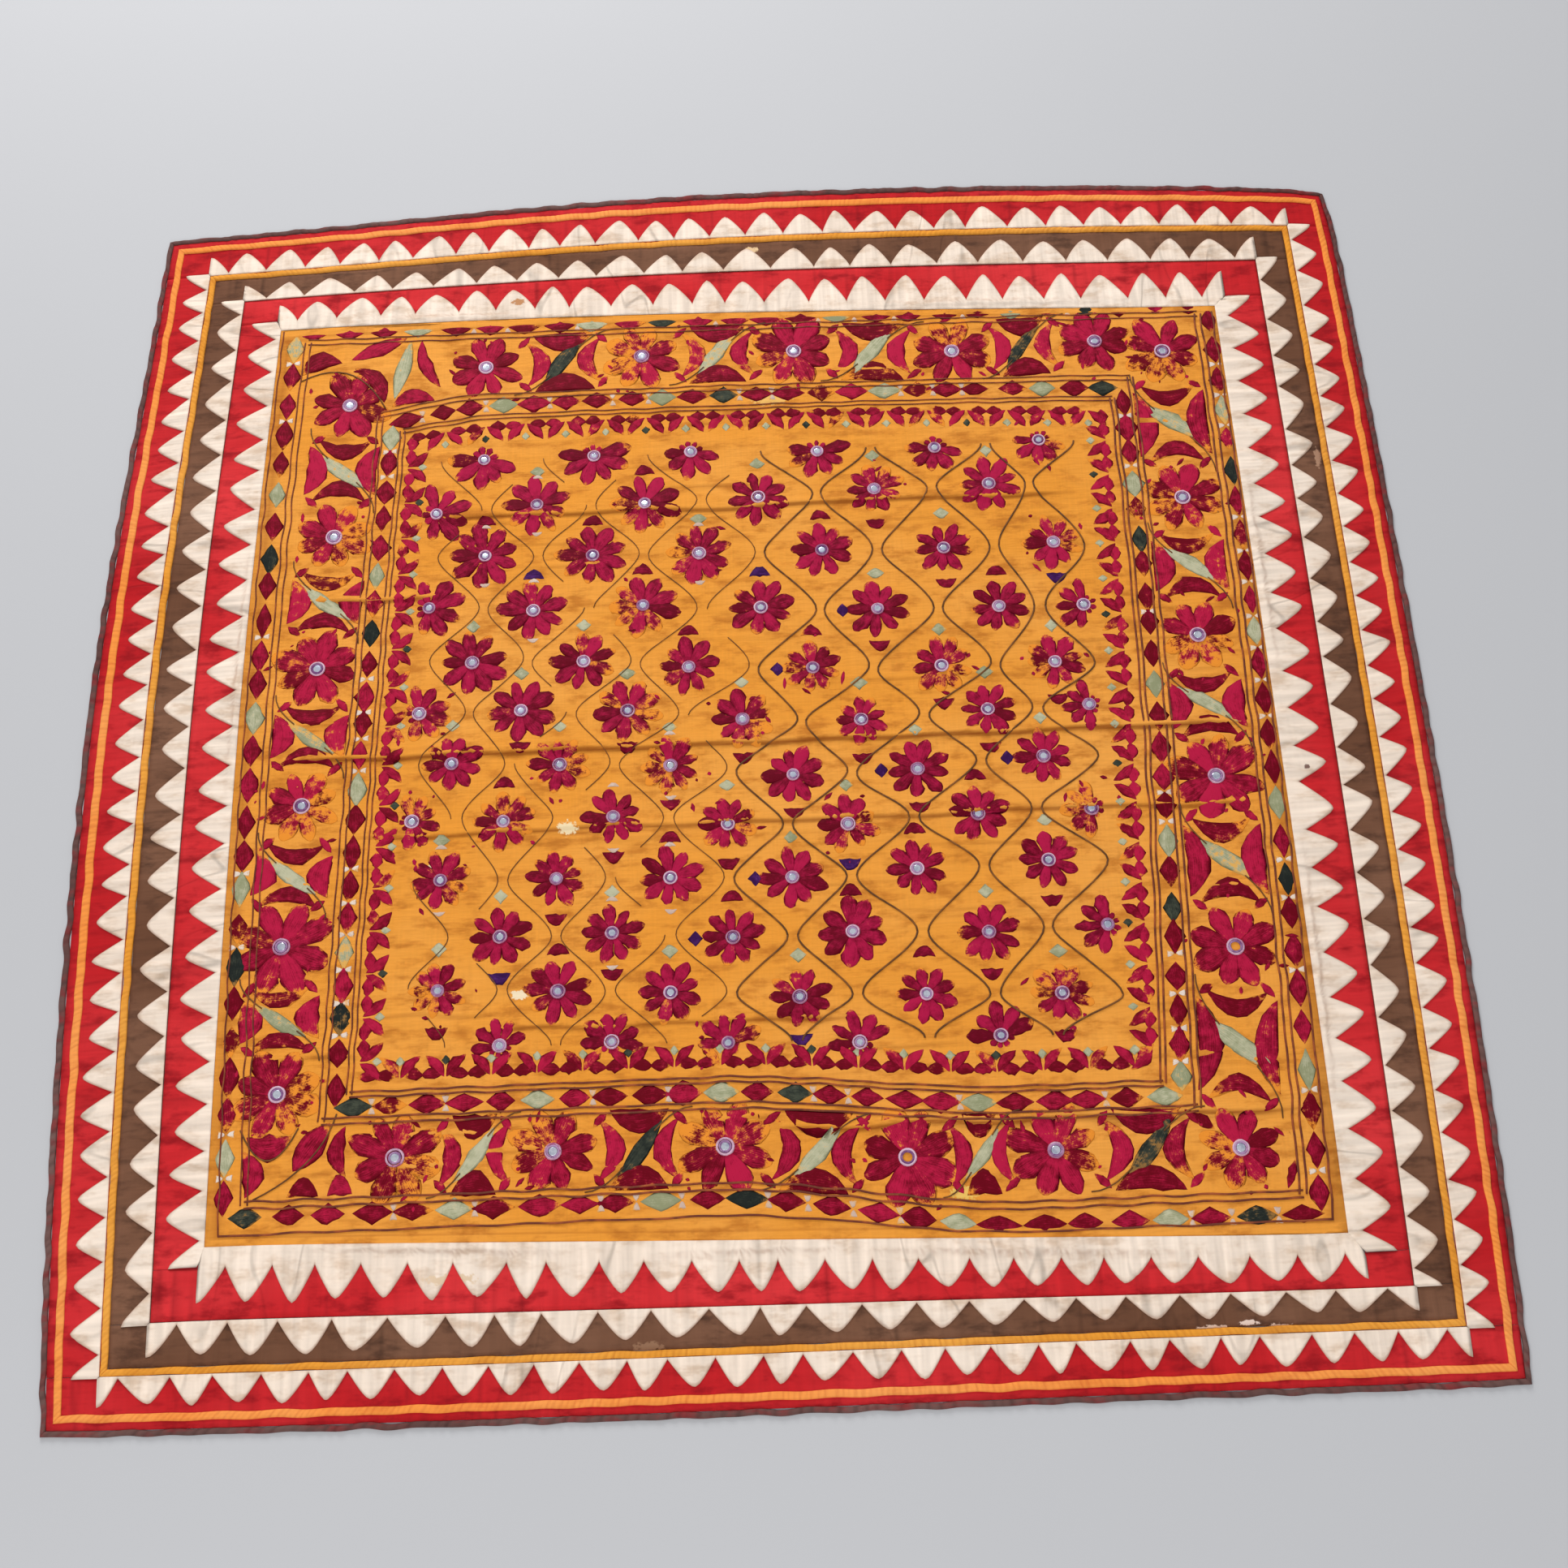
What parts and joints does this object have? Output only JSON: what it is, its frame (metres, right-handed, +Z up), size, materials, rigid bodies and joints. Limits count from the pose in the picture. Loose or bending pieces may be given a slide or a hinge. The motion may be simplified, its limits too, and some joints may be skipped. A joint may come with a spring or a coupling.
{
  "type": "embroidered panel",
  "caption": "Square embroidered and mirror-worked cloth panel with toothed applique borders, laid flat with long soft folds, used as a hanging or cover.",
  "frame": {"origin": "under the middle of the panel's box, on the surface it lies on", "axes": "+Z up out of the embroidered face, +Y towards the panel's top edge, +X to its right"},
  "size_m": [1.35, 1.3436, 0.0062],
  "materials": {
    "mustard_cotton": "matt plain weave",
    "red_cotton": "matt plain weave",
    "brown_cotton": "matt plain weave",
    "cream_cotton": "matt plain weave",
    "yellow_piping": "matt",
    "orange_stripe": "matt",
    "dark_binding": "matt",
    "floss_silk": "satin stitched floss",
    "sewing_thread": "twisted thread",
    "mirror_glass": "silvered glass"
  },
  "bodies": {
    "root": {"centre_panel": "mustard_cotton", "outer_ground_top": "red_cotton", "outer_ground_right": "red_cotton", "outer_ground_bottom": "red_cotton", "outer_ground_left": "red_cotton", "middle_ground_top": "brown_cotton", "middle_ground_right": "brown_cotton", "middle_ground_bottom": "brown_cotton", "middle_ground_left": "brown_cotton", "inner_ground_top": "red_cotton", "inner_ground_right": "red_cotton", "inner_ground_bottom": "red_cotton", "inner_ground_left": "red_cotton", "outer_teeth_top": "cream_cotton", "outer_teeth_right": "cream_cotton", "outer_teeth_bottom": "cream_cotton", "outer_teeth_left": "cream_cotton", "middle_teeth_top": "cream_cotton", "middle_teeth_right": "cream_cotton", "middle_teeth_bottom": "cream_cotton", "middle_teeth_left": "cream_cotton", "inner_teeth_top": "cream_cotton", "inner_teeth_right": "cream_cotton", "inner_teeth_bottom": "cream_cotton", "inner_teeth_left": "cream_cotton", "piping_top": "yellow_piping", "piping_right": "yellow_piping", "piping_bottom": "yellow_piping", "piping_left": "yellow_piping", "edge_stripe_top": "orange_stripe", "edge_stripe_right": "orange_stripe", "edge_stripe_bottom": "orange_stripe", "edge_stripe_left": "orange_stripe", "edge_binding_top": "dark_binding", "edge_binding_right": "dark_binding", "edge_binding_bottom": "dark_binding", "edge_binding_left": "dark_binding", "mirror_top_1": "mirror_glass", "mirror_top_2": "mirror_glass", "mirror_top_3": "mirror_glass", "mirror_top_4": "mirror_glass", "mirror_top_5": "mirror_glass", "mirror_top_6": "mirror_glass", "mirror_top_7": "mirror_glass", "mirror_right_1": "mirror_glass", "mirror_right_2": "mirror_glass", "mirror_right_3": "mirror_glass", "mirror_right_4": "mirror_glass", "mirror_bottom_1": "mirror_glass", "mirror_bottom_2": "mirror_glass", "mirror_bottom_3": "mirror_glass", "mirror_bottom_4": "mirror_glass", "mirror_bottom_5": "mirror_glass", "mirror_bottom_6": "mirror_glass", "mirror_left_1": "mirror_glass", "mirror_left_2": "mirror_glass", "mirror_left_3": "mirror_glass", "mirror_left_4": "mirror_glass", "mirror_left_5": "mirror_glass"}
  },
  "joints": []
}
